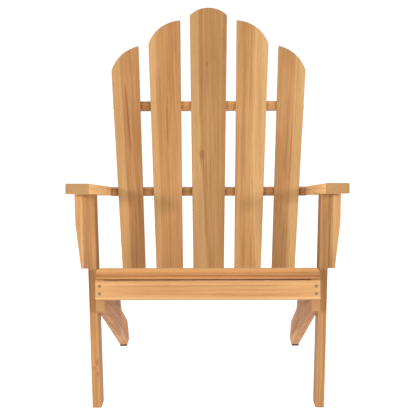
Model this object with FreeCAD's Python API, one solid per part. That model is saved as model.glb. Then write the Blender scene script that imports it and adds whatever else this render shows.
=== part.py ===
"""Adirondack chair in solid teak: fanned back, sloping arms, seat on two long side rails.

Millimetres, +Z up. While the chair is being built X = 0 is its middle plane, Y = 0 is the
front face of the front legs, +Y runs to the back and Z = 0 is the floor. At the end every
piece is moved along Y, so that the origin is the middle of the chair's footprint.
"""
import FreeCAD, Part
import math
import os
from FreeCAD import Vector

# ---------------------------------------------------------------- driving dimensions

# Timber sizes
STOCK = 22.0                 # thickness of the legs, rails, apron and slats
ARM_STOCK = 25.0             # thickness of the arms
EASE = 2.0                   # radius that takes the sharpness off every board

# Front legs
LEG_DEPTH = 75.0
LEG_LEAN = 1.15              # degrees that each leg leans outward
LEG_HOUSING = 0.424          # a rail is let into its leg by this at seat height, and more below

# Side rails, which run from the front of the seat down to the floor behind
SEAT_WIDTH = 512.0           # clear width between the side rails
SEAT_ANGLE = 15.5            # degrees that the seat falls towards the back
SEAT_HEIGHT = 322.6          # underside of the seat slats above the legs' front face
RAIL_DEPTH = 75.6
RAIL_FRONT = -31.0           # front end of a rail, measured down the slope from the leg face
KINK_RUN = 132.0             # where the lower edge turns steeper, measured down the slope
TAIL_ANGLE = 18.8
TAIL_DEPTH = 77.0
BODY_END = 484.0             # where the top edge leaves the seat line
SWEEP_RUN = 61.0             # length of the hollow sweep behind the seat
FOOT_LENGTH = 79.99          # rear foot, from where the tail's lower edge meets the floor
FOOT_CLEARANCE = 1.5         # wood of the rear foot above the floor
FOOT_BEVEL = (8.0, 6.0)      # run and rise of the bevel behind the foot
HEEL_RISE = 64.0             # run of the rounded heel behind the tail's straight top edge
HEEL_BULGE = 6.0
SWEEP_HOLLOW = 0.11          # depth of the sweep, as a share of its run

# Rear glides
GLIDE_THICK = 5.5
GLIDE_LENGTH = 36.0
GLIDE_SETBACK = 3.5          # glide behind the front of its rebate
GLIDE_INSET = 0.6            # glide in from each face of the rail

# Apron across the front ends of the side rails
APRON_HEIGHT = 49.0
APRON_RELIEF = 2.2           # lowered between the rails, for a gap that drains

# Seat slats
SEAT_END_GAP = 3.0           # ends of the seat slats in from the rails' outer faces
SEAT_GAP = 8.0
NOSE_WIDTH = 60.0
NOSE_THICK = 29.0
NOSE_ROUND = 13.0
NOSE_OVERHANG = 12.0         # nose slat in front of the apron
LATER_SLATS = 6
BACK_CLEARANCE = 8.0         # last seat slat to the back slats

# Back
RECLINE = 24.0               # degrees from vertical
BACK_FOOT_RUN = 365.081       # lower front corner of the back slats, down the seat slope
BACK_FOOT_DROP = 2.632        # and below it
FAN_HEIGHT = 860.0           # height along the back at which the upper widths are measured
CENTRE_WIDTHS = (83.5, 112.0)
INNER_WIDTHS = (72.5, 98.0)
OUTER_WIDTHS = (62.5, 87.0)
CENTRE_GAP = 29.0
OUTER_GAP = 30.5
CENTRE_CREST = 895.0
CENTRE_ROUND = 75.0
INNER_CREST = 853.4
INNER_ROUND = 104.4
INNER_CREST_OFFSET = 7.0     # crest of the arch in from the slat's inner edge
OUTER_CREST = 772.0
OUTER_ROUND = 107.9
OUTER_CREST_OFFSET = 27.0

# Rails behind the back slats
UPPER_RAIL_AT = 575.5        # lower edge of the upper rail, along the back
UPPER_RAIL_HEIGHT = 24.0
UPPER_RAIL_PROUD = 1.0       # past the outer slats at each end
LOWER_RAIL_DEPTH = 58.0
CROSS_RAIL_DEPTH = 46.0
CROSS_RAIL_DROP = 91.3       # its underside below the front of the arms' top
TENON_THICK = 12.0
TENON_WIDTH = 36.0
TENON_LENGTH = 18.0

# Arms
ARM_FRONT_Y = -130.0
ARM_RISE = 259.4             # front of the arms' top above the seat
ARM_FALL = 5.86              # degrees
ARM_WIDTH = 58.0
ARM_REAR_Y = 578.0
ARM_FRONT_ROUND = 9.0        # outer front corner in plan
ARM_REAR_ROUND = 18.0

# Brackets that carry the arms outside the legs
BRACKET_TOP = 31.0
BRACKET_BOTTOM = 20.6
BRACKET_DROP = 229.0         # lower end of a bracket below the front of the arms' top
BRACKET_STRAIGHT = 117.0     # the outer edge is straight down to this drop

# Fasteners
SCREW_SHANK = 4.5
SCREW_HEAD = 8.6
SCREW_CONE = 3.0
DRIVE_SPAN = 4.4             # cross recess in a screw head
DRIVE_WIDTH = 1.0
DRIVE_DEPTH = 1.8
APRON_SCREW_LENGTH = 50.0
ARM_SCREW_LENGTH = 60.0
BRACKET_SCREW_LENGTH = 38.0
LOWER_RAIL_SCREW_LENGTH = 44.0
SLAT_SCREW_LENGTH = 50.0     # from the front, into the lower rail
UPPER_SCREW_LENGTH = 38.0    # from behind, through the upper rail
CROSS_SCREW_BITE = 20.0      # past the cross rail, from behind
GLIDE_SCREW_LENGTH = 26.0
GLIDE_WELL = 1.5             # screw head above the underside of the glide
PLUG_DIAMETER = 10.0
PLUG_DEPTH = 7.0
BOLT_SHANK = 6.0
BOLT_HEAD = 15.0
BOLT_HEAD_THICK = 3.0
BOLT_RECESS = 1.2
NUT_BARREL = 9.0
NUT_BARREL_LENGTH = 12.0

# ---------------------------------------------------------------- worked out once

RAIL_INNER_X = SEAT_WIDTH / 2
RAIL_OUTER_X = RAIL_INNER_X + STOCK
RAIL_MIDDLE_X = RAIL_INNER_X + STOCK / 2
SIN_SEAT = math.sin(math.radians(SEAT_ANGLE))
COS_SEAT = math.cos(math.radians(SEAT_ANGLE))
SIN_BACK = math.sin(math.radians(RECLINE))
COS_BACK = math.cos(math.radians(RECLINE))
TAN_LEAN = math.tan(math.radians(LEG_LEAN))
TAN_ARM = math.tan(math.radians(ARM_FALL))
LEG_FOOT_X = RAIL_OUTER_X - LEG_HOUSING - SEAT_HEIGHT * TAN_LEAN     # inner face at the floor
SEAT_LENGTH = 2 * (RAIL_OUTER_X - SEAT_END_GAP)
BACK_FOOT_Y = BACK_FOOT_RUN * COS_SEAT - BACK_FOOT_DROP * SIN_SEAT
BACK_FOOT_Z = SEAT_HEIGHT - BACK_FOOT_RUN * SIN_SEAT - BACK_FOOT_DROP * COS_SEAT
ARM_FRONT_Z = SEAT_HEIGHT + ARM_RISE
CROSS_RAIL_BOTTOM = ARM_FRONT_Z - CROSS_RAIL_DROP
BRACKET_LOW_Z = ARM_FRONT_Z - BRACKET_DROP
BRACKET_STRAIGHT_Z = ARM_FRONT_Z - BRACKET_STRAIGHT
FAR = 2000.0                 # larger than the chair, for cutting tools

SIDES = (("left", -1), ("right", 1))


# ---------------------------------------------------------------- shared geometry

def seat_line(run, rise=0.0):
    """(Y, Z) at a distance down the seat slope, and a height square to it."""
    y = run * COS_SEAT + rise * SIN_SEAT
    z = SEAT_HEIGHT - run * SIN_SEAT + rise * COS_SEAT
    return y, z


def back_line(up, behind=0.0):
    """(Y, Z) at a distance up the back, and a depth behind the slats' front face."""
    y = BACK_FOOT_Y + up * SIN_BACK + behind * COS_BACK
    z = BACK_FOOT_Z + up * COS_BACK - behind * SIN_BACK
    return y, z


def back_face_y(z, behind):
    """Y of the plane that lies behind the slats' front face, at a height."""
    y0, z0 = back_line(0.0, behind)
    return y0 + (z - z0) * SIN_BACK / COS_BACK


def arm_top_z(y):
    return ARM_FRONT_Z - (y - ARM_FRONT_Y) * TAN_ARM


def arm_underside_z(y):
    return arm_top_z(y) - ARM_STOCK / math.cos(math.radians(ARM_FALL))


def leg_inner_x(z):
    return LEG_FOOT_X + z * TAN_LEAN


def leg_outer_x(z):
    return leg_inner_x(z) + STOCK / math.cos(math.radians(LEG_LEAN))


def side_plate(outline, x_from, thickness):
    """A board whose (Y, Z) outline is extruded along +X."""
    face = Part.Face(Part.Wire(outline))
    face.translate(Vector(x_from, 0, 0))
    return face.extrude(Vector(thickness, 0, 0))


def polyline(points):
    """Closed straight edges through (Y, Z) points in the plane X = 0."""
    corners = [Vector(0, y, z) for y, z in points]
    return [Part.makeLine(a, b) for a, b in zip(corners, corners[1:] + corners[:1])]


def eased(board, radius=EASE):
    """The board with every edge rounded over, as a router leaves it."""
    return board.makeFillet(radius, board.Edges)


def mirrored(shape):
    return shape.mirror(Vector(0, 0, 0), Vector(1, 0, 0))


def on_side(shape, side):
    """The right-hand shape, or its mirror image on the left."""
    return shape if side > 0 else mirrored(shape)


def tilted(shape, degrees, y, z):
    """A shape built upright, turned about X and set at (Y, Z)."""
    shape.rotate(Vector(0, 0, 0), Vector(1, 0, 0), -degrees)
    shape.translate(Vector(0, y, z))
    return shape


# ---------------------------------------------------------------- fasteners

def screw(head_centre, direction, length):
    """A countersunk wood screw: its head is flush at head_centre, its point runs along direction."""
    axis = Vector(*direction).normalize()
    centre = Vector(*head_centre)
    cone = Part.makeCone(SCREW_HEAD / 2, SCREW_SHANK / 2, SCREW_CONE, centre, axis)
    shank_start = centre + axis * SCREW_CONE
    tip = SCREW_SHANK
    shank = Part.makeCylinder(SCREW_SHANK / 2, length - SCREW_CONE - tip, shank_start, axis)
    tip_start = shank_start + axis * (length - SCREW_CONE - tip)
    point = Part.makeCone(SCREW_SHANK / 2, SCREW_SHANK / 8, tip, tip_start, axis)
    return cone.fuse([shank, point]).removeSplitter()


def drive_recess(head_centre, direction):
    """The cross-shaped hollow for the driver, cut into a screw's flush head."""
    arms = [Part.makeBox(span_x, span_y, 2 * DRIVE_DEPTH,
                         Vector(-span_x / 2, -span_y / 2, -DRIVE_DEPTH))
            for span_x, span_y in ((DRIVE_SPAN, DRIVE_WIDTH), (DRIVE_WIDTH, DRIVE_SPAN))]
    cross = arms[0].fuse(arms[1])
    turn = FreeCAD.Rotation(Vector(0, 0, 1), Vector(*direction))
    cross.Placement = FreeCAD.Placement(Vector(*head_centre), turn)
    return cross


def plugged_screw(surface_point, direction, length):
    """A screw sunk below the surface, and the wooden plug that covers its head."""
    axis = Vector(*direction).normalize()
    surface = Vector(*surface_point)
    plug = Part.makeCylinder(PLUG_DIAMETER / 2, PLUG_DEPTH, surface, axis)
    head = surface + axis * PLUG_DEPTH
    return screw(tuple(head), direction, length), plug


def leg_bolt(y, z, side):
    """A flat-headed furniture bolt through leg and side rail, and the sleeve nut that takes it."""
    head_outer = leg_outer_x(z) - BOLT_RECESS
    nut_inner = RAIL_INNER_X + BOLT_RECESS
    inward = Vector(-1, 0, 0)
    head = Part.makeCylinder(BOLT_HEAD / 2, BOLT_HEAD_THICK, Vector(head_outer, y, z), inward)
    shank_from = head_outer - BOLT_HEAD_THICK
    shank_length = shank_from - nut_inner - BOLT_HEAD_THICK
    shank = Part.makeCylinder(BOLT_SHANK / 2, shank_length, Vector(shank_from, y, z), inward)
    bolt = head.fuse(shank)
    flange = Part.makeCylinder(BOLT_HEAD / 2, BOLT_HEAD_THICK, Vector(nut_inner, y, z),
                               Vector(1, 0, 0))
    barrel = Part.makeCylinder(NUT_BARREL / 2, NUT_BARREL_LENGTH,
                               Vector(nut_inner + BOLT_HEAD_THICK, y, z), Vector(1, 0, 0))
    nut = flange.fuse(barrel).cut(bolt)
    return on_side(bolt, side), on_side(nut, side)


def leg_bolt_recesses(y, z, side):
    """The two counterbores that leave the bolt head and the nut flange below the wood."""
    outer = Part.makeCylinder(BOLT_HEAD / 2, FAR, Vector(leg_outer_x(z) - BOLT_RECESS, y, z),
                              Vector(1, 0, 0))
    inner = Part.makeCylinder(BOLT_HEAD / 2, FAR, Vector(RAIL_INNER_X + BOLT_RECESS, y, z),
                              Vector(-1, 0, 0))
    inner = inner.cut(Part.makeBox(FAR, FAR, FAR, Vector(-FAR, -FAR / 2, -FAR / 2)))
    return on_side(outer, side), on_side(inner, side)


# ---------------------------------------------------------------- side rails and glides

def tail_lower_z(y):
    kink_y, kink_z = seat_line(KINK_RUN, -RAIL_DEPTH)
    return kink_z - (y - kink_y) * math.tan(math.radians(TAIL_ANGLE))


def tail_y_at(z):
    kink_y, kink_z = seat_line(KINK_RUN, -RAIL_DEPTH)
    return kink_y + (kink_z - z) / math.tan(math.radians(TAIL_ANGLE))


def tail_upper_z(y):
    return tail_lower_z(y) + TAIL_DEPTH / math.cos(math.radians(TAIL_ANGLE))


FOOT_REAR = tail_y_at(0.0) + FOOT_LENGTH
GLIDE_FRONT = tail_y_at(GLIDE_THICK) + GLIDE_SETBACK
GLIDE_REAR = GLIDE_FRONT + GLIDE_LENGTH


def side_rail_outline():
    """Edges of a side rail in the Y-Z plane, from the front end round by the floor."""
    def at(y, z):
        return Vector(0, y, z)

    front_low = at(*seat_line(RAIL_FRONT, -RAIL_DEPTH))
    kink = at(*seat_line(KINK_RUN, -RAIL_DEPTH))
    rebate_front = at(tail_y_at(GLIDE_THICK), GLIDE_THICK)
    rebate_rear = at(GLIDE_REAR, GLIDE_THICK)
    foot_front = at(GLIDE_REAR, FOOT_CLEARANCE)
    foot_rear = at(FOOT_REAR - FOOT_BEVEL[0], FOOT_CLEARANCE)
    heel_low = at(FOOT_REAR, FOOT_CLEARANCE + FOOT_BEVEL[1])
    heel_top_y = FOOT_REAR - HEEL_RISE
    heel_top = at(heel_top_y, tail_upper_z(heel_top_y))
    chord = heel_top - heel_low
    outward = Vector(0, chord.z, -chord.y).normalize()
    heel_middle = (heel_low + heel_top) * 0.5 + outward * HEEL_BULGE
    sweep_low_y = BODY_END + SWEEP_RUN
    sweep_low = at(sweep_low_y, tail_upper_z(sweep_low_y))
    body_top = at(BODY_END, seat_line(BODY_END / COS_SEAT)[1])
    sweep_chord = body_top - sweep_low
    hollow = Vector(0, -sweep_chord.z, sweep_chord.y).normalize()
    sweep_middle = (sweep_low + body_top) * 0.5 + hollow * (SWEEP_RUN * SWEEP_HOLLOW)
    front_top = at(*seat_line(RAIL_FRONT))
    return [
        Part.makeLine(front_low, kink),
        Part.makeLine(kink, rebate_front),
        Part.makeLine(rebate_front, rebate_rear),
        Part.makeLine(rebate_rear, foot_front),
        Part.makeLine(foot_front, foot_rear),
        Part.makeLine(foot_rear, heel_low),
        Part.Arc(heel_low, heel_middle, heel_top).toShape(),
        Part.makeLine(heel_top, sweep_low),
        Part.Arc(sweep_low, sweep_middle, body_top).toShape(),
        Part.makeLine(body_top, front_top),
        Part.makeLine(front_top, front_low),
    ]


def side_rail():
    """The board, with the long edges of both faces rounded over and the foot left sharp."""
    board = side_plate(side_rail_outline(), RAIL_INNER_X, STOCK)
    above_foot = GLIDE_THICK + FOOT_BEVEL[1]
    rounded = [e for e in board.Edges
               if e.BoundBox.XLength < 1 and e.BoundBox.ZMax > above_foot
               and e.BoundBox.DiagonalLength > STOCK]
    return board.makeFillet(EASE, rounded)


def glide():
    width = STOCK - 2 * GLIDE_INSET
    pad = Part.makeBox(width, GLIDE_LENGTH, GLIDE_THICK,
                       Vector(RAIL_INNER_X + GLIDE_INSET, GLIDE_FRONT, 0))
    lower = [e for e in pad.Edges if e.BoundBox.ZMax < 0.1]
    return pad.makeFillet(1.2, lower)


# ---------------------------------------------------------------- front legs and brackets

def under_the_arm(shape):
    """The part of a shape that lies above the floor and below the arm's underside."""
    rear_y = LEG_DEPTH + 100.0
    wedge = polyline([(-100.0, 0.0), (rear_y, 0.0), (rear_y, arm_underside_z(rear_y)),
                      (-100.0, arm_underside_z(-100.0))])
    return shape.common(side_plate(wedge, 0.0, FAR))


def leaning(shape):
    """A shape built with the leg's inner face on X = 0, moved to the leg and leaned out."""
    shape.rotate(Vector(0, 0, 0), Vector(0, 1, 0), LEG_LEAN)
    shape.translate(Vector(LEG_FOOT_X, 0, 0))
    return shape


def front_leg():
    height = arm_underside_z(0.0)
    blank = Part.makeBox(STOCK, LEG_DEPTH, 2 * height, Vector(0, 0, -height / 2))
    upright = [e for e in blank.Edges if e.BoundBox.ZLength > height]
    post = under_the_arm(leaning(blank.makeFillet(EASE, upright)))
    housing = Part.makeBox(FAR, FAR, FAR, Vector(RAIL_OUTER_X - FAR, -FAR / 2, -FAR / 2))
    return post.cut(housing.common(side_rail_envelope()))


def side_rail_envelope():
    """The side rail's outline, wide enough to cut the shallow housing in the leg."""
    return side_plate(side_rail_outline(), RAIL_INNER_X, 2 * STOCK)


def arm_bracket():
    outer_low = STOCK + BRACKET_BOTTOM
    outer_top = STOCK + BRACKET_TOP
    top_z = arm_underside_z(0.0) + 40.0
    middle_y = (LEG_DEPTH - STOCK) / 2
    corners = [(STOCK, BRACKET_LOW_Z), (outer_low, BRACKET_LOW_Z),
               (outer_top, BRACKET_STRAIGHT_Z), (outer_top, top_z), (STOCK, top_z)]
    points = [Vector(x, middle_y, z) for x, z in corners]
    face = Part.Face(Part.makePolygon(points + points[:1]))
    blank = face.extrude(Vector(0, STOCK, 0))
    outer_edges = [e for e in blank.Edges
                   if e.BoundBox.XMin > STOCK + 1 and e.BoundBox.YLength < 1
                   and e.BoundBox.ZLength > 1]
    return under_the_arm(leaning(blank.makeFillet(EASE, outer_edges)))


# ---------------------------------------------------------------- arms

ARM_INNER_X = leg_inner_x(arm_underside_z(LEG_DEPTH / 2))


def arm():
    """A straight arm, built level with its upper front edge on the X axis, then tilted."""
    length = (ARM_REAR_Y - ARM_FRONT_Y) / math.cos(math.radians(ARM_FALL))
    board = Part.makeBox(ARM_WIDTH, length, ARM_STOCK, Vector(ARM_INNER_X, 0, -ARM_STOCK))
    outer_x = ARM_INNER_X + ARM_WIDTH
    front_outer = [e for e in board.Edges
                   if e.BoundBox.ZLength > ARM_STOCK / 2
                   and e.BoundBox.XMin > outer_x - 1 and e.BoundBox.YMax < 1]
    board = board.makeFillet(ARM_FRONT_ROUND, front_outer)
    rear = [e for e in board.Edges
            if e.BoundBox.ZLength > ARM_STOCK / 2 and e.BoundBox.YMin > length - 1]
    board = board.makeFillet(ARM_REAR_ROUND, rear)
    board = board.makeFillet(EASE, [e for e in board.Edges if e.BoundBox.ZLength < 1])
    return tilted(board, ARM_FALL, ARM_FRONT_Y, ARM_FRONT_Z)


# ---------------------------------------------------------------- seat

def apron():
    """Its ends reach the nose slat; between the rails its top edge is cut lower."""
    board = eased(Part.makeBox(2 * RAIL_OUTER_X, STOCK, APRON_HEIGHT,
                               Vector(-RAIL_OUTER_X, RAIL_FRONT - STOCK, -APRON_HEIGHT)))
    relief = Part.makeBox(SEAT_WIDTH, FAR, FAR,
                          Vector(-RAIL_INNER_X, -FAR / 2, -APRON_RELIEF))
    return tilted(board.cut(relief), SEAT_ANGLE, 0.0, SEAT_HEIGHT)


NOSE_FRONT_RUN = RAIL_FRONT - STOCK - NOSE_OVERHANG


def seat_end_run():
    """How far down the slope the seat reaches, at the top face of its slats."""
    y0, z0 = back_line(0.0)
    top_y, top_z = seat_line(0.0, STOCK)
    gap_y = y0 - top_y + (top_z - z0) * SIN_BACK / COS_BACK
    return gap_y / (COS_SEAT + SIN_SEAT * SIN_BACK / COS_BACK)


SLAT_WIDTH = (seat_end_run() - BACK_CLEARANCE - NOSE_FRONT_RUN - NOSE_WIDTH
              - LATER_SLATS * SEAT_GAP) / LATER_SLATS


def nose_slat():
    board = Part.makeBox(SEAT_LENGTH, NOSE_WIDTH, NOSE_THICK,
                         Vector(-SEAT_LENGTH / 2, NOSE_FRONT_RUN, 0))
    rear = NOSE_FRONT_RUN + NOSE_WIDTH
    rounded = [e for e in board.Edges
               if e.BoundBox.ZMin > NOSE_THICK - 1 and e.BoundBox.YMin < rear - 1]
    board = board.makeFillet(NOSE_ROUND, rounded)
    return tilted(board, SEAT_ANGLE, 0.0, SEAT_HEIGHT)


def slat_start(index):
    """Distance down the slope of the front edge of a seat slat, counted from the nose."""
    if index == 0:
        return NOSE_FRONT_RUN
    return NOSE_FRONT_RUN + NOSE_WIDTH + SEAT_GAP + (index - 1) * (SLAT_WIDTH + SEAT_GAP)


def seat_slat(index):
    board = Part.makeBox(SEAT_LENGTH, SLAT_WIDTH, STOCK,
                         Vector(-SEAT_LENGTH / 2, slat_start(index), 0))
    return tilted(eased(board), SEAT_ANGLE, 0.0, SEAT_HEIGHT)


# ---------------------------------------------------------------- back

def fan_edge(bottom_x, top_x):
    """X of a tapering edge as (value at the foot, growth per millimetre of height)."""
    return bottom_x, (top_x - bottom_x) / FAN_HEIGHT


def fan_edges():
    """The edges of the slats right of the middle, from the centre slat outward."""
    edges = []
    bottom, top = CENTRE_WIDTHS[0] / 2, CENTRE_WIDTHS[1] / 2
    edges.append(fan_edge(bottom, top))
    for gap, widths in ((CENTRE_GAP, INNER_WIDTHS), (OUTER_GAP, OUTER_WIDTHS)):
        bottom, top = bottom + gap, top + gap
        edges.append(fan_edge(bottom, top))
        bottom, top = bottom + widths[0], top + widths[1]
        edges.append(fan_edge(bottom, top))
    return edges


CENTRE_EDGE, INNER_NEAR, INNER_FAR, OUTER_NEAR, OUTER_FAR = fan_edges()


def edge_x(edge, up):
    return edge[0] + edge[1] * up


def arch_meets(edge, centre_x, centre_up, radius):
    """Height at which an arch of the given centre and radius meets a tapering edge."""
    start, growth = edge
    a = 1 + growth ** 2
    b = 2 * (growth * (start - centre_x) - centre_up)
    c = (start - centre_x) ** 2 + centre_up ** 2 - radius ** 2
    return (-b + math.sqrt(b * b - 4 * a * c)) / (2 * a)


def back_slat(near, far, crest, radius, centre_x):
    """A tapered slat with an arched top, built upright with its front face on Y = 0."""
    centre_up = crest - radius
    near_up = arch_meets(near, centre_x, centre_up, radius)
    far_up = arch_meets(far, centre_x, centre_up, radius)
    near_top = Vector(edge_x(near, near_up), 0, near_up)
    far_top = Vector(edge_x(far, far_up), 0, far_up)
    middle_x = (near_top.x + far_top.x) / 2
    middle_up = centre_up + math.sqrt(radius ** 2 - (middle_x - centre_x) ** 2)
    near_foot = Vector(near[0], 0, 0)
    far_foot = Vector(far[0], 0, 0)
    outline = Part.Wire([
        Part.makeLine(near_foot, far_foot),
        Part.makeLine(far_foot, far_top),
        Part.Arc(far_top, Vector(middle_x, 0, middle_up), near_top).toShape(),
        Part.makeLine(near_top, near_foot),
    ])
    board = Part.Face(outline).extrude(Vector(0, STOCK, 0))
    faces = [e for e in board.Edges if e.BoundBox.YLength < 1]
    return tilted(board.makeFillet(EASE, faces), RECLINE, BACK_FOOT_Y, BACK_FOOT_Z)


def centre_slat():
    left_edge = (-CENTRE_EDGE[0], -CENTRE_EDGE[1])
    return back_slat(left_edge, CENTRE_EDGE, CENTRE_CREST, CENTRE_ROUND, 0.0)


def inner_slat():
    near_top = edge_x(INNER_NEAR, INNER_CREST)
    return back_slat(INNER_NEAR, INNER_FAR, INNER_CREST, INNER_ROUND,
                     near_top - INNER_CREST_OFFSET)


def outer_slat():
    near_top = edge_x(OUTER_NEAR, OUTER_CREST)
    return back_slat(OUTER_NEAR, OUTER_FAR, OUTER_CREST, OUTER_ROUND,
                     near_top - OUTER_CREST_OFFSET)


def upper_rail():
    middle_up = UPPER_RAIL_AT + UPPER_RAIL_HEIGHT / 2
    half = edge_x(OUTER_FAR, middle_up) + UPPER_RAIL_PROUD
    board = Part.makeBox(2 * half, STOCK, UPPER_RAIL_HEIGHT, Vector(-half, STOCK, UPPER_RAIL_AT))
    return tilted(eased(board), RECLINE, BACK_FOOT_Y, BACK_FOOT_Z)


def cross_rail_section():
    """The rail at arm height is level, with its front edge bevelled to the back slats."""
    low, high = CROSS_RAIL_BOTTOM, CROSS_RAIL_BOTTOM + STOCK
    front_low, front_high = back_face_y(low, STOCK), back_face_y(high, STOCK)
    rear = front_high + CROSS_RAIL_DEPTH
    return [(front_low, low), (rear, low), (rear, high), (front_high, high)]


def tenon_box(x_from, length):
    section = cross_rail_section()
    middle_z = CROSS_RAIL_BOTTOM + STOCK / 2
    rear = section[1][0]
    inset = (rear - section[3][0] - TENON_WIDTH) / 2
    return Part.makeBox(length, TENON_WIDTH, TENON_THICK,
                        Vector(x_from, rear - inset - TENON_WIDTH, middle_z - TENON_THICK / 2))


def cross_rail():
    section = side_plate(polyline(cross_rail_section()), -ARM_INNER_X, 2 * ARM_INNER_X)
    long_edges = [e for e in section.Edges if e.BoundBox.XLength > ARM_INNER_X]
    board = section.makeFillet(EASE, long_edges)
    overlap = 5.0
    tenon = tenon_box(ARM_INNER_X - overlap, TENON_LENGTH + overlap)
    return board.fuse([tenon, mirrored(tenon)]).removeSplitter()


def lower_rail_runs():
    """Runs down the slope of the lower rail's front edge, below and above, and of its rear."""
    lean = math.tan(math.radians(RECLINE + SEAT_ANGLE))
    foot_y, foot_z = back_line(0.0, STOCK)
    run = foot_y * COS_SEAT - (foot_z - SEAT_HEIGHT) * SIN_SEAT
    height = foot_y * SIN_SEAT + (foot_z - SEAT_HEIGHT) * COS_SEAT
    front_low = run - height * lean
    front_high = front_low + STOCK * lean
    return front_low, front_high, front_high + LOWER_RAIL_DEPTH


def lower_rail():
    """The rail that lies on the side rails behind the back, bevelled to the back slats."""
    front_low, front_high, rear = lower_rail_runs()
    outline = polyline([(front_low, 0), (rear, 0), (rear, STOCK), (front_high, STOCK)])
    board = side_plate(outline, -RAIL_OUTER_X, 2 * RAIL_OUTER_X)
    rear_edges = [e for e in board.Edges
                  if e.BoundBox.XLength > 1 and e.BoundBox.YMin > rear - 1]
    return tilted(board.makeFillet(EASE, rear_edges), SEAT_ANGLE, 0.0, SEAT_HEIGHT)


# ---------------------------------------------------------------- build the wooden pieces

wood = {"front_apron": apron(), "seat_slat_1": nose_slat()}
for index in range(1, LATER_SLATS + 1):
    wood["seat_slat_%d" % (index + 1)] = seat_slat(index)
wood["back_slat_centre"] = centre_slat()
wood["upper_back_rail"] = upper_rail()
wood["arm_cross_rail"] = cross_rail()
wood["lower_back_rail"] = lower_rail()

for name, side in SIDES:
    wood["side_rail_" + name] = on_side(side_rail(), side)
    wood["front_leg_" + name] = on_side(front_leg(), side)
    wood["arm_bracket_" + name] = on_side(arm_bracket(), side)
    mortise = tenon_box(ARM_INNER_X - 1.0, TENON_LENGTH + 1.0)
    wood["arm_" + name] = on_side(arm().cut(mortise), side)
    wood["back_slat_inner_" + name] = on_side(inner_slat(), side)
    wood["back_slat_outer_" + name] = on_side(outer_slat(), side)

# ---------------------------------------------------------------- place the fasteners

hardware = {}
cuts = {}


def fasten(node, fastener, *pieces):
    """Adds a fastener to its node, and notes the pieces that it is let into."""
    hardware.setdefault(node, []).append(fastener)
    for piece in pieces:
        cuts.setdefault(piece, []).append(fastener)


def drive(node, head_centre, direction, length, *pieces):
    """Drives a screw whose head shows, with the recess for its driver."""
    plain = screw(head_centre, direction, length)
    hardware.setdefault(node, []).append(plain.cut(drive_recess(head_centre, direction)))
    for piece in pieces:
        cuts.setdefault(piece, []).append(plain)


SEAT_NORMAL = (0, -SIN_SEAT, -COS_SEAT)      # straight into the seat from above
DOWN_SLOPE = (0, COS_SEAT, -SIN_SEAT)
INTO_BACK = (0, COS_BACK, -SIN_BACK)         # into the slats from their front
FROM_BEHIND = (0, -COS_BACK, SIN_BACK)
ARM_NORMAL = (0, -math.sin(math.radians(ARM_FALL)), -math.cos(math.radians(ARM_FALL)))

APRON_SCREW_DROPS = (16.5, 35.0)             # below the seat line
SEAT_SCREW_SPREAD = 0.5                      # of a slat's width, between its two screws
SEAT_SCREW_BITE = 20.0                       # length of a seat screw in the side rail
NOSE_SCREW_BITE = 12.0                       # shorter, to stay clear of the apron's screws
NOSE_SCREW_SETBACK = 14.0                    # behind the front end of the side rail
ARM_SCREW_YS = (18.0, 57.0)
BOLT_RUNS = (26.0, 62.0)                     # down the slope from the legs' front face
BOLT_DROP = 26.0                             # below the seat line
BRACKET_SCREW_ZS = (395.0, 475.0)
LOWER_RAIL_SCREW_INSET = 16.0                # from each long edge of the lower rail
LOWER_SCREW_UP = 17.0                        # up the slats from their lower ends
PEG_SPARE = 4.0                              # peg sawn off flush above and below


def seat_screw_places(index):
    """(Run down the slope, slat thickness, bite) of the screws at one end of a seat slat."""
    if index == 0:
        return [(RAIL_FRONT + NOSE_SCREW_SETBACK, NOSE_THICK, NOSE_SCREW_BITE)]
    middle = slat_start(index) + SLAT_WIDTH / 2
    offset = SLAT_WIDTH * SEAT_SCREW_SPREAD / 2
    return [(middle - offset, STOCK, SEAT_SCREW_BITE), (middle + offset, STOCK, SEAT_SCREW_BITE)]


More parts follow.
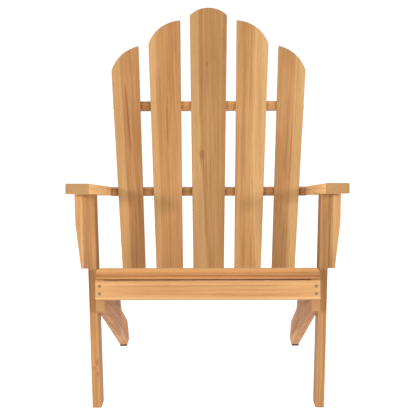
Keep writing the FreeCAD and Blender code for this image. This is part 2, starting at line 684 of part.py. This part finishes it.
for name, side in SIDES:
    leg, rail = "front_leg_" + name, "side_rail_" + name
    arm_piece, bracket = "arm_" + name, "arm_bracket_" + name

    for drop in APRON_SCREW_DROPS:
        y, z = seat_line(RAIL_FRONT - STOCK, -drop)
        drive("apron_screws", (side * RAIL_MIDDLE_X, y, z), DOWN_SLOPE, APRON_SCREW_LENGTH,
              "front_apron", rail)

    for index in range(LATER_SLATS + 1):
        for run, thick, bite in seat_screw_places(index):
            y, z = seat_line(run, thick)
            drive("seat_slat_screws", (side * RAIL_MIDDLE_X, y, z), SEAT_NORMAL, thick + bite,
                  "seat_slat_%d" % (index + 1), rail)

    for run in BOLT_RUNS:
        y, z = seat_line(run, -BOLT_DROP)
        bolt, nut = leg_bolt(y, z, side)
        outer_recess, inner_recess = leg_bolt_recesses(y, z, side)
        fasten("leg_bolts", bolt, leg, rail)
        fasten("leg_bolt_nuts", nut, rail)
        cuts[leg].append(outer_recess)
        cuts[rail].append(inner_recess)

    for y in ARM_SCREW_YS:
        x = side * (ARM_INNER_X + STOCK / 2)
        fastener, plug = plugged_screw((x, y, arm_top_z(y)), ARM_NORMAL,
                                        ARM_SCREW_LENGTH)
        fasten("arm_screws", fastener, arm_piece, leg)
        fasten("arm_plugs", plug, arm_piece)

    middle_y = LEG_DEPTH / 2
    bracket_x = side * (leg_outer_x(arm_underside_z(middle_y)) + BRACKET_TOP / 2)
    fastener, plug = plugged_screw((bracket_x, middle_y, arm_top_z(middle_y)), ARM_NORMAL,
                                    ARM_SCREW_LENGTH)
    fasten("arm_screws", fastener, arm_piece, bracket)
    fasten("arm_plugs", plug, arm_piece)

    tenon = tenon_box(ARM_INNER_X, TENON_LENGTH).BoundBox
    tenon_y = (tenon.YMin + tenon.YMax) / 2
    tenon_x = side * (ARM_INNER_X + TENON_LENGTH / 2)
    peg_from = arm_underside_z(tenon_y) - PEG_SPARE
    peg = Part.makeCylinder(PLUG_DIAMETER / 2, arm_top_z(tenon_y) + PEG_SPARE - peg_from,
                            Vector(tenon_x, tenon_y, peg_from))
    peg = peg.common(on_side(arm(), side))
    fasten("tenon_pegs", peg, arm_piece, "arm_cross_rail")

    for z in BRACKET_SCREW_ZS:
        lean = math.radians(LEG_LEAN)
        outward = (side * math.cos(lean), 0, -math.sin(lean))
        drive("bracket_screws", (side * leg_inner_x(z), middle_y, z), outward,
              BRACKET_SCREW_LENGTH, leg, bracket)

    rear_run = lower_rail_runs()[2]
    for inset in (LOWER_RAIL_SCREW_INSET, LOWER_RAIL_DEPTH - LOWER_RAIL_SCREW_INSET):
        y, z = seat_line(rear_run - inset, STOCK)
        drive("lower_rail_screws", (side * RAIL_MIDDLE_X, y, z), SEAT_NORMAL,
              LOWER_RAIL_SCREW_LENGTH, "lower_back_rail", rail)

    pad_y = (GLIDE_FRONT + GLIDE_REAR) / 2
    pad = on_side(glide(), side)
    well = Part.makeCylinder(SCREW_HEAD / 2, GLIDE_WELL, Vector(side * RAIL_MIDDLE_X, pad_y, 0))
    head = (side * RAIL_MIDDLE_X, pad_y, GLIDE_WELL)
    pin = screw(head, (0, 0, 1), GLIDE_SCREW_LENGTH)
    hardware["rear_glide_" + name] = [pad.cut(well).cut(pin)]
    drive("glide_screws", head, (0, 0, 1), GLIDE_SCREW_LENGTH, rail)

# Screws that hold the back slats: from behind through the two upper rails, and from the front
# below the seat line into the lower rail.
slats_of_the_back = [("back_slat_centre", CENTRE_EDGE, None, 0)]
for name, side in SIDES:
    slats_of_the_back.append(("back_slat_inner_" + name, INNER_NEAR, INNER_FAR, side))
    slats_of_the_back.append(("back_slat_outer_" + name, OUTER_NEAR, OUTER_FAR, side))

cross_middle_z = CROSS_RAIL_BOTTOM + STOCK / 2
cross_rear_y = cross_rail_section()[1][0]
upper_middle = UPPER_RAIL_AT + UPPER_RAIL_HEIGHT / 2

for piece, near, far, side in slats_of_the_back:
    for up, rail, style in ((LOWER_SCREW_UP, "lower_back_rail", "front"),
                            ((cross_middle_z - BACK_FOOT_Z) / COS_BACK, "arm_cross_rail", "level"),
                            (upper_middle, "upper_back_rail", "behind")):
        if side == 0:
            spread = edge_x(near, up) * 0.5
            xs = (-spread, spread)
        else:
            xs = (side * (edge_x(near, up) + edge_x(far, up)) / 2,)
        for x in xs:
            if style == "front":
                head, direction, length = (x, *back_line(up)), INTO_BACK, SLAT_SCREW_LENGTH
            elif style == "behind":
                head, direction = (x, *back_line(up, 2 * STOCK)), FROM_BEHIND
                length = UPPER_SCREW_LENGTH
            else:
                head, direction = (x, cross_rear_y, cross_middle_z), (0, -1, 0)
                length = CROSS_RAIL_DEPTH + CROSS_SCREW_BITE
            drive("back_slat_screws", head, direction, length, piece, rail)

# ---------------------------------------------------------------- let the fasteners in and save

for piece, tools in cuts.items():
    wood[piece] = wood[piece].cut(tools)

nodes = dict(wood)
for node, solids in hardware.items():
    nodes[node] = Part.makeCompound(solids) if len(solids) > 1 else solids[0]

front = wood["arm_left"].BoundBox.YMin
to_origin = Vector(0, -(front + FOOT_REAR) / 2, 0)

os.makedirs("parts", exist_ok=True)
for node, shape in nodes.items():
    shape.translate(to_origin)
    shape.exportStep("parts/%s.step" % node)
    print("%-24s solids %2d  volume %10.0f  valid %s" %
          (node, len(shape.Solids), shape.Volume, shape.isValid()))
print("moved by %.3f along Y" % to_origin.y)
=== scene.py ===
import math

import bmesh
import bpy
from mathutils import Matrix, Vector


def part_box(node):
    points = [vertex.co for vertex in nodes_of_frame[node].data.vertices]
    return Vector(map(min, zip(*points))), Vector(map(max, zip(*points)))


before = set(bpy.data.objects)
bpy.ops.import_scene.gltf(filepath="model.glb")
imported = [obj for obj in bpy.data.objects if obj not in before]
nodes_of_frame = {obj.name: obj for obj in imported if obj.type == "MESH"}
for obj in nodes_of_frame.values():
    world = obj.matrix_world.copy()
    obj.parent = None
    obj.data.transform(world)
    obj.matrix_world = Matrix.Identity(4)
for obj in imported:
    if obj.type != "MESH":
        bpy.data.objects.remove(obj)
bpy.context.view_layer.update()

scene = bpy.context.scene

# ---- Camera. A long lens straight in front of the chair, a little below the top of the
# back and tipped down to the seat, with the slightest roll. Lengths in metres, angles in
# degrees.
lens_height = 0.8405
lens_distance = 3.442
lens_tip = 6.109
lens_aside = 0.017
lens_turn = 0.300
lens_roll = -0.17
lens_length = 108.3
camera_data = bpy.data.cameras.new("camera")
camera_data.lens = lens_length
camera_data.sensor_width = 36.0
camera_data.clip_end = 50.0
camera = bpy.data.objects.new("camera", camera_data)
scene.collection.objects.link(camera)
camera.matrix_world = (Matrix.Translation((lens_aside, -lens_distance, lens_height))
                       @ Matrix.Rotation(math.radians(lens_turn), 4, "Z")
                       @ Matrix.Rotation(math.radians(90.0 - lens_tip), 4, "X")
                       @ Matrix.Rotation(math.radians(lens_roll), 4, "Z"))
scene.camera = camera

# ---- Studio floor: a wide sheet of white card that runs far past the chair, so that it
# meets the white surroundings without a line.
floor_reach = 14.0
card_grey = 0.20
card_glow = 0.92
floor_mesh = bpy.data.meshes.new("floor")
floor_form = bmesh.new()
bmesh.ops.create_grid(floor_form, x_segments=1, y_segments=1, size=floor_reach)
floor_form.to_mesh(floor_mesh)
floor_form.free()
floor = bpy.data.objects.new("floor", floor_mesh)
scene.collection.objects.link(floor)
card = bpy.data.materials.new("white_card")
card.use_nodes = True
card_shader = card.node_tree.nodes["Principled BSDF"]
card_shader.inputs["Base Color"].default_value = (card_grey, card_grey, card_grey, 1)
card_shader.inputs["Roughness"].default_value = 0.9
card_shader.inputs["Emission Color"].default_value = (1, 1, 1, 1)
card_shader.inputs["Emission Strength"].default_value = card_glow
floor_mesh.materials.append(card)

scene.view_settings.view_transform = "Standard"


# ---- Shader arithmetic. Node trees are written below as sums, so that a material reads like
# the formula it is.
class Shade:
    """One socket of a material. Arithmetic on it adds Math nodes to the same material."""

    def __init__(self, tree, socket):
        self.tree, self.socket = tree, socket

    def node(self, kind, settings=None, values=None, output=0):
        """A node of a kind, with its settings made first and then its inputs filled."""
        made = self.tree.nodes.new("ShaderNode" + kind)
        for name, setting in (settings or {}).items():
            if name == "stops":
                ramp = made.color_ramp.elements
                for extra in setting[2:]:
                    ramp.new(0.5)
                for stop, (place, colour) in zip(ramp, sorted(setting)):
                    stop.position, stop.color = place, (*colour, 1)
            else:
                setattr(made, name, setting)
        for name, value in (values or {}).items():
            if isinstance(value, Shade):
                self.tree.links.new(value.socket, made.inputs[name])
            else:
                made.inputs[name].default_value = value
        return Shade(self.tree, made.outputs[output])

    def sum_of(self, operation, first, second=0.0):
        return self.node("Math", {"operation": operation}, {0: first, 1: second})

    def __add__(self, other):
        return self.sum_of("ADD", self, other)

    def __radd__(self, other):
        return self.sum_of("ADD", other, self)

    def __sub__(self, other):
        return self.sum_of("SUBTRACT", self, other)

    def __rsub__(self, other):
        return self.sum_of("SUBTRACT", other, self)

    def __mul__(self, other):
        return self.sum_of("MULTIPLY", self, other)

    def __rmul__(self, other):
        return self.sum_of("MULTIPLY", other, self)

    def __truediv__(self, other):
        return self.sum_of("DIVIDE", self, other)

    def __rtruediv__(self, other):
        return self.sum_of("DIVIDE", other, self)

    def __pow__(self, other):
        return self.sum_of("POWER", self, other)

    def __mod__(self, other):
        return self.sum_of("FLOORED_MODULO", self, other)

    def __abs__(self):
        return self.sum_of("ABSOLUTE", self)

    def rise(self, low, high):
        """0 below low, 1 above high, and a smooth climb between them."""
        return self.node("MapRange", {"interpolation_type": "SMOOTHSTEP"},
                         {0: self, 1: low, 2: high, 3: 0.0, 4: 1.0})

    def stretched(self, by):
        return self.node("VectorMath", {"operation": "MULTIPLY"}, {0: self, 1: by})

    def cloud(self, detail=2.0, rough=0.5):
        """Soft noise between 0 and 1, of unit size on this vector."""
        return self.node("TexNoise", {}, {"Vector": self, "Scale": 1.0, "Detail": detail,
                                          "Roughness": rough})

    def toward(self, colour, amount):
        """This colour, mixed by an amount with another."""
        return self.node("Mix", {"data_type": "RGBA"}, {0: amount, 6: self, 7: colour}, 2)


# ---- Studio light: surroundings that look plain white to the lens and give their light from
# the sides and above; a small soft box on each side in front of the chair, a little above the
# arms; and larger ones above and behind it.
sky_base = 0.03
sky_side = 1.60
sky_top = 0.80
sky_seen = 1.05
surroundings = bpy.data.worlds.new("surroundings")
surroundings.use_nodes = True
sky = surroundings.node_tree.nodes["Background"]
sky.inputs["Color"].default_value = (1.0, 1.0, 1.0, 1)
sky_tree = surroundings.node_tree
seen = Shade(sky_tree, sky_tree.nodes.new("ShaderNodeLightPath").outputs["Is Camera Ray"])
toward_side = seen.node("SeparateXYZ", {}, {0: seen.node("TexCoord", {}, {}, "Generated")})
upward = Shade(sky_tree, toward_side.socket.node.outputs["Z"])
glow = sky_base + toward_side * toward_side * sky_side + upward * upward * sky_top
sky_tree.links.new((glow + seen * (sky_seen - glow)).socket, sky.inputs["Strength"])
scene.world = surroundings


def soft_box(name, place, target, width, height, power):
    """A rectangular soft light at a place, turned to face a target."""
    light = bpy.data.lights.new(name, "AREA")
    light.shape = "RECTANGLE"
    light.size, light.size_y = width, height
    light.energy = power
    box = bpy.data.objects.new(name, light)
    scene.collection.objects.link(box)
    box.location = place
    box.rotation_euler = (Vector(target) - Vector(place)).to_track_quat("-Z", "Y").to_euler()


for name, aside in (("left_box", -1.30), ("right_box", 1.30)):
    soft_box(name, (aside, -3.6, 1.10), (0.0, 0.0, 0.5), 0.22, 0.22, 59.0)
soft_box("top_box", (0.0, -2.0, 2.9), (0.0, 0.0, 0.4), 1.4, 0.8, 14.0)
soft_box("rear_box", (0.0, 2.8, 2.2), (0.0, 0.0, 0.5), 2.2, 1.2, 34.0)


# ---- Oiled teak. One recipe for every board, given its grain direction, where the log's
# pith lay, and how pale or warm the board is.
def new_material(name, roughness):
    """A material, its shader, and its object coordinates."""
    material = bpy.data.materials.new(name)
    material.use_nodes = True
    tree = material.node_tree
    shader = tree.nodes["Principled BSDF"]
    shader.inputs["Roughness"].default_value = roughness
    place = Shade(tree, tree.nodes.new("ShaderNodeTexCoord").outputs["Object"])
    return material, shader, place


def plug_in(shader, name, shade):
    shade.tree.links.new(shade.socket, shader.inputs[name])


def wear(node, material):
    """Gives a node of the frame this material all over."""
    piece = nodes_of_frame[node]
    if not piece.material_slots:
        piece.data.materials.append(material)
    for held in piece.material_slots:
        held.link = "OBJECT"
        held.material = material


HEART = (0.420, 0.206, 0.072)
HEART_DARK = (0.270, 0.112, 0.032)
HEART_LIGHT = (0.540, 0.290, 0.112)
SAP = (0.490, 0.272, 0.104)
SAP_LIGHT = (0.590, 0.345, 0.142)
SAP_DARK = (0.390, 0.196, 0.070)
PORE = (0.150, 0.058, 0.018)
END_GRAIN = (0.148, 0.078, 0.029)
RAIL_END_GRAIN = (0.30, 0.170, 0.075)
RING_PITCH = 0.0052
BANDS_PER_METRE = 95.0
GRAIN_RELIEF = 0.0005


def tinted(colour, bright, warm):
    """A colour made brighter, and warmer where warm is above 1."""
    return (colour[0] * bright, colour[1] * bright / warm ** 0.5, colour[2] * bright / warm)


def teak(node, along, across, pith, drift=(0.0, 0.0), sap=None, bright=1.0, warm=1.0,
         wander=0.022, bow=0.0, streaks_and_painted_light=(), knots=(), figure=1.0, ends=0.45, end_tint=None,
         gloss=0.22, seed=0.0):
    """Oiled teak sawn from a log: growth rings round a pith that lies beside the board.

    Lengths are in metres in the board's own axes: across its face, through it, and along
    the grain. Sap is the radius past which the wood is pale sapwood. A streak is its place
    across, slope, low and high end, width and depth, a negative depth making it lighter;
    most streaks are grain lines, but the legs' wide one is painted shade and the front seat
    slat's widest light one is a painted highlight. A knot is its place and size."""
    along, across = Vector(along).normalized(), Vector(across).normalized()
    through = along.cross(across).normalized()
    across = through.cross(along)
    low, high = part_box(node)
    middle = (Vector(low) + Vector(high)) / 2
    turn = Matrix((across, through, along)).transposed().to_euler()
    material, shader, place = new_material("teak_" + node, 0.5)
    board = place.node("Mapping", {"vector_type": "TEXTURE"},
                       {"Vector": place, "Location": middle, "Rotation": turn})
    split = board.node("SeparateXYZ", {}, {0: board})
    x, y, z = (Shade(split.tree, out) for out in split.socket.node.outputs)
    shifted = board.node("VectorMath", {"operation": "ADD"},
                         {0: board, 1: (seed, seed * 0.37, seed * 1.7)})

    # the rings, which wander slowly along the log and swell round each knot
    sway = shifted.stretched((5.0, 5.0, 2.1)).cloud(1.0) - 0.5
    ring_x = x - pith[0] - z * drift[0] - z * z * bow + sway * wander
    ring_y = y - pith[1] - z * drift[1]
    knot_mask = None
    for knot_x, knot_y, knot_z, size in knots:
        from_x, from_y = (x - knot_x) / size, (y - knot_y) / size
        from_z = (z - knot_z) / (size * 2.2)
        near = 1.0 / (1.0 + (from_x * from_x + from_y * from_y + from_z * from_z) ** 1.5)
        ring_x = ring_x + near * (size * 1.3)
        spot = near.rise(0.45, 0.95)
        knot_mask = spot if knot_mask is None else knot_mask + spot
    radius = (ring_x * ring_x + ring_y * ring_y) ** 0.5
    heave = (shifted.stretched((9.0, 9.0, 2.6)).cloud(1.0) - 0.5) * 0.022
    bands = radius.node("TexNoise", {"noise_dimensions": "1D"},
                        {"W": radius + heave + seed, "Scale": BANDS_PER_METRE, "Detail": 4.0,
                         "Roughness": 0.55})
    late_wood = ((radius + heave) / RING_PITCH % 1.0) ** 4.0

    # fibres and pores that run with the grain, and slow patches of colour
    fibre = shifted.stretched((330.0, 330.0, 6.0)).cloud(3.0, 0.6)
    pore = shifted.stretched((1500.0, 1500.0, 42.0)).cloud(1.0).rise(0.58, 0.72)
    plume = shifted.stretched((120.0, 120.0, 2.4)).cloud(2.0)
    patch = shifted.stretched((16.0, 16.0, 3.4)).cloud(2.0)
    tone = (0.5 + (bands - 0.5) * (0.62 * figure) + (fibre - 0.5) * (0.85 * figure)
            + (plume - 0.5) * (0.70 * figure) + (patch - 0.5) * (0.75 * figure)
            - late_wood * 0.06)
    # streaks darken a band, or lighten it where the depth is negative: grain lines, and also
    # painted shade on the legs and a painted highlight on the front seat slat's nose
    for line_x, slope, low_z, high_z, width, depth in streaks_and_painted_light:
        aside = (x - line_x - z * slope + sway * 0.006) / width
        run = z.rise(low_z - 0.02, low_z + 0.05) * (1.0 - z.rise(high_z - 0.05, high_z + 0.02))
        tone = tone - depth * run / (1.0 + aside * aside * aside * aside)
    stops = [(0.0, tinted(HEART_DARK, bright, warm)), (0.5, tinted(HEART, bright, warm)),
             (1.0, tinted(HEART_LIGHT, bright, warm))]
    colour = tone.node("ValToRGB", {"stops": stops}, {0: tone})
    if sap is not None:
        pale = (radius + (fibre - 0.5) * 0.003).rise(sap - 0.0008, sap + 0.0014)
        sap_stops = [(0.0, tinted(SAP_DARK, bright, warm)), (0.5, tinted(SAP, bright, warm)),
                     (1.0, tinted(SAP_LIGHT, bright, warm))]
        colour = colour.toward(tone.node("ValToRGB", {"stops": sap_stops}, {0: tone}), pale)
    colour = colour.toward((*tinted(PORE, bright, warm), 1), pore * 0.20)
    if knot_mask is not None:
        colour = colour.toward((*tinted(PORE, 1.25, warm), 1), knot_mask * 0.55)

    # sawn ends drink more oil and look darker
    facing = place.node("VectorMath", {"operation": "DOT_PRODUCT"},
                        {0: place.node("TexCoord", {}, {}, "Normal"), 1: along}, "Value")
    end_grain = abs(facing).rise(0.25, 0.72)
    colour = colour.toward((*tinted(end_tint or END_GRAIN, bright, 1.0), 1), end_grain * ends)

    plug_in(shader, "Base Color", colour)
    plug_in(shader, "Roughness", 0.52 + pore * 0.16 + (0.5 - tone) * 0.10 + end_grain * 0.14)
    relief = fibre * 0.5 + (1.0 - pore) * 0.7 + (1.0 - late_wood) * 0.2
    plug_in(shader, "Normal", relief.node("Bump", {}, {"Strength": 0.30, "Distance": GRAIN_RELIEF,
                                                       "Height": relief}))
    shader.inputs["Specular IOR Level"].default_value = gloss
    wear(node, material)


# ---- Front legs. Two upright boards, set edge-on and leaned out a little, each bolted
# through a side rail. The left one has three small knots in its front edge.
leg_lean = math.radians(1.15)
leg_knots = {"left": ((-0.037, -0.004, -0.155, 0.005), (-0.037, -0.005, -0.185, 0.004),
                      (-0.037, 0.003, -0.170, 0.003)), "right": ()}
leg_bright = {"left": 0.90, "right": 0.82}
# the wide dark band over each leg's upper half, up to the arm, is painted shade
for side, hand in (("left", -1), ("right", 1)):
    teak("front_leg_" + side, (hand * math.sin(leg_lean), 0, math.cos(leg_lean)), (0, 1, 0),
         pith=(0.05, -hand * 0.07), drift=(0.015, 0.0), bright=leg_bright[side], wander=0.006,
         knots=leg_knots[side], streaks_and_painted_light=((0.0, 0.0, 0.03, 0.5, 0.06, 0.26),), seed=2.0 + hand)

# ---- Side rails. One long board on each side carries the seat and runs down to the floor
# behind as the rear foot.
seat_fall = math.radians(15.5)
down_slope = Vector((0, math.cos(seat_fall), -math.sin(seat_fall)))
seat_up = Vector((0, math.sin(seat_fall), math.cos(seat_fall)))
for side, hand in (("left", -1), ("right", 1)):
    teak("side_rail_" + side, down_slope, seat_up, pith=(-0.06, hand * 0.04),
         drift=(0.02, 0.0), bright=1.08, warm=1.28, ends=0.8, end_tint=RAIL_END_GRAIN,
         gloss=0.10, seed=5.0 + hand, streaks_and_painted_light=((-0.012, -0.05, 0.02, 0.45, 0.010, 0.30),
                                               (0.006, -0.05, 0.0, 0.4, 0.003, 0.35),
                                               (-0.036, -0.05, 0.1, 0.5, 0.009, -0.35)))

# ---- Rear glides. Moulded black plastic pads, let in under the rear feet and held by one
# screw each.
glide_black, glide_shader, glide_place = new_material("black_plastic", 0.55)
mottle = glide_place.stretched((900.0, 900.0, 900.0)).cloud(2.0)
plug_in(glide_shader, "Base Color",
        mottle.node("ValToRGB", {"stops": [(0.0, (0.012, 0.012, 0.012)),
                                           (1.0, (0.032, 0.031, 0.030))]}, {0: mottle}))
plug_in(glide_shader, "Roughness", 0.45 + mottle * 0.2)
plug_in(glide_shader, "Normal", mottle.node("Bump", {}, {"Strength": 0.35, "Distance": 0.0003,
                                                         "Height": mottle}))
glide_shader.inputs["Specular IOR Level"].default_value = 0.15
for side in ("left", "right"):
    wear("rear_glide_" + side, glide_black)

# ---- Apron. A board across the front ends of the side rails, of paler wood than the rest,
# with four screws in its face.
teak("front_apron", (1, 0, 0), seat_up, pith=(-0.15, 0.09), drift=(0.004, 0.0), wander=0.006,
     bright=1.03, warm=0.93, figure=0.7, seed=8.0,
     streaks_and_painted_light=((0.0082, 0.001, -0.26, 0.20, 0.0016, 0.32),
              (0.0150, 0.0, -0.4, 0.4, 0.0045, -0.22),
              (-0.0225, 0.0, -0.4, 0.4, 0.0035, -0.30),
              (-0.003, 0.004, -0.12, 0.26, 0.0012, 0.2)))

# ---- Seat slats. The front one is thicker, with a rounded nose; six flat slats follow it
# down the slope, each screwed to both side rails.
# the wide light streak along the top of the front slat's rounded nose (depth -1.20) is a painted
# highlight
teak("seat_slat_1", (1, 0, 0), seat_up, pith=(-0.05, 0.03), drift=(0.004, 0.0), bright=0.79,
     warm=1.32, wander=0.006, sap=0.0585, seed=11.0,
     streaks_and_painted_light=((-0.0060, 0.0, -0.4, 0.4, 0.0016, 0.60), (-0.0105, 0.0, -0.4, 0.4, 0.0028, -0.10),
              (0.0120, 0.0, -0.4, 0.4, 0.0060, -1.20)))
for number in range(2, 8):
    teak("seat_slat_%d" % number, (1, 0, 0), down_slope,
         pith=(0.05 * math.cos(number * 2.1), 0.06 + 0.01 * (number % 3)),
         drift=(0.012 * math.sin(number * 1.7), 0.01), bright=1.0 + 0.05 * math.sin(number * 3.3),
         sap=0.075 if number % 3 == 0 else None, seed=12.0 + number)

# ---- Lower back rail. Lies across the side rails behind the back; the slats' lower ends
# are screwed to its bevelled front.
teak("lower_back_rail", (1, 0, 0), down_slope, pith=(0.04, -0.05), bright=0.97, seed=21.0)

# ---- Back slats. Five tapered boards with arched tops, fanned out from the seat and leaned
# back; each was sawn with a strip of sapwood along one edge.
recline = math.radians(24.0)
up_back = Vector((0, math.sin(recline), math.cos(recline)))


def up_the_fan(lean):
    """Direction up the back, leaned sideways in the plane of the slats."""
    return up_back * math.cos(lean) + Vector((1, 0, 0)) * math.sin(lean)


teak("back_slat_centre", up_the_fan(0.0), (1, 0, 0), pith=(0.075, 0.05), drift=(-0.0387, 0.0),
     bow=0.0491, sap=0.1148, bright=0.82, warm=0.99, wander=0.006, seed=31.0,
     knots=((-0.018, -0.011, -0.026, 0.009), (-0.004, -0.011, 0.262, 0.004)))
teak("back_slat_inner_left", up_the_fan(-0.0325), (1, 0, 0), pith=(0.07, 0.055),
     drift=(-0.0098, 0.0), sap=0.1115, bright=0.89, warm=1.03, wander=0.006, seed=33.0,
     streaks_and_painted_light=((0.008, -0.010, 0.02, 0.16, 0.0022, 0.25),
              (0.014, -0.006, 0.18, 0.33, 0.0018, 0.25)))
teak("back_slat_outer_left", up_the_fan(-0.061), (1, 0, 0), pith=(0.075, 0.04),
     drift=(-0.0135, 0.0), sap=0.0972, bright=0.85, warm=1.08, wander=0.005, seed=35.0,
     streaks_and_painted_light=((0.0122, -0.049, 0.03, 0.27, 0.0016, 0.50),))
teak("back_slat_inner_right", up_the_fan(0.0325), (1, 0, 0), pith=(-0.075, 0.055),
     drift=(-0.0268, 0.0), bow=0.062, sap=0.1022, bright=0.97, warm=0.95, wander=0.006,
     seed=37.0)
teak("back_slat_outer_right", up_the_fan(0.061), (1, 0, 0), pith=(-0.075, 0.04),
     drift=(0.002, 0.0), sap=0.0955, bright=0.90, warm=0.98, wander=0.005, seed=39.0)

# ---- Upper back rail. A square strip screwed across the back of all five slats.
teak("upper_back_rail", (1, 0, 0), up_back, pith=(0.03, 0.04), bright=1.26,
     streaks_and_painted_light=((0.0, 0.0, -0.26, -0.10, 0.03, 0.45),), seed=41.0)

# ---- Cross rail. Runs behind the slats at arm height, level, and is tenoned into both arms.
teak("arm_cross_rail", (1, 0, 0), (0, 1, 0), pith=(0.04, 0.04), bright=0.92, warm=1.10,
     seed=43.0)

# ---- Arms. Straight, thicker boards that fall towards the back, with rounded corners; each
# rests on a front leg and its bracket and takes the cross rail's tenon behind.
arm_fall = math.radians(5.86)
along_arm = Vector((0, math.cos(arm_fall), -math.sin(arm_fall)))
# the arms are made much paler and less warm than the other boards (bright 1.84, warm 0.71):
# painted light, standing in for strong side light on their inner faces
for side, hand in (("left", -1), ("right", 1)):
    teak("arm_" + side, along_arm, (1, 0, 0), pith=(-hand * 0.03, -0.05), drift=(0.01, 0.0),
         bright=1.84, warm=0.71, ends=0.94, seed=47.0 + hand)

# ---- Brackets. A tapered block outside each leg carries the overhang of the arm.
for side, hand in (("left", -1), ("right", 1)):
    teak("arm_bracket_" + side, (hand * math.sin(leg_lean), 0, math.cos(leg_lean)), (1, 0, 0),
         pith=(-hand * 0.07, 0.03), drift=(0.02, 0.0), bright=1.14 if hand < 0 else 1.04,
         warm=0.82, streaks_and_painted_light=() if hand < 0 else ((0.0, 0.0, -0.2, -0.04, 0.05, 0.30),),
         seed=51.0 + hand)

# ---- Plugs and pegs. Short lengths of teak dowel, glued in over the arm screws and through
# the tenons of the cross rail, and sanded flush.
for group in ("arm_plugs", "tenon_pegs"):
    teak(group, (0, 0, 1), (1, 0, 0), pith=(0.01, 0.02), bright=0.86, seed=57.0)

# ---- Screws, bolts and nuts. Bronzed steel, brown with age; the countersunk heads sit flush
# in the wood, and the bolts stand in shallow recesses.
steel, steel_shader, steel_place = new_material("bronzed_steel", 0.4)
brushed = steel_place.stretched((2500.0, 2500.0, 2500.0)).cloud(3.0, 0.6)
plug_in(steel_shader, "Base Color",
        brushed.node("ValToRGB", {"stops": [(0.3, (0.14, 0.072, 0.030)),
                                            (0.7, (0.30, 0.165, 0.072))]}, {0: brushed}))
steel_shader.inputs["Metallic"].default_value = 0.5
plug_in(steel_shader, "Roughness", 0.38 + brushed * 0.22)
for group in ("apron_screws", "seat_slat_screws", "leg_bolts", "leg_bolt_nuts", "arm_screws",
              "bracket_screws", "lower_rail_screws", "glide_screws", "back_slat_screws"):
    wear(group, steel)
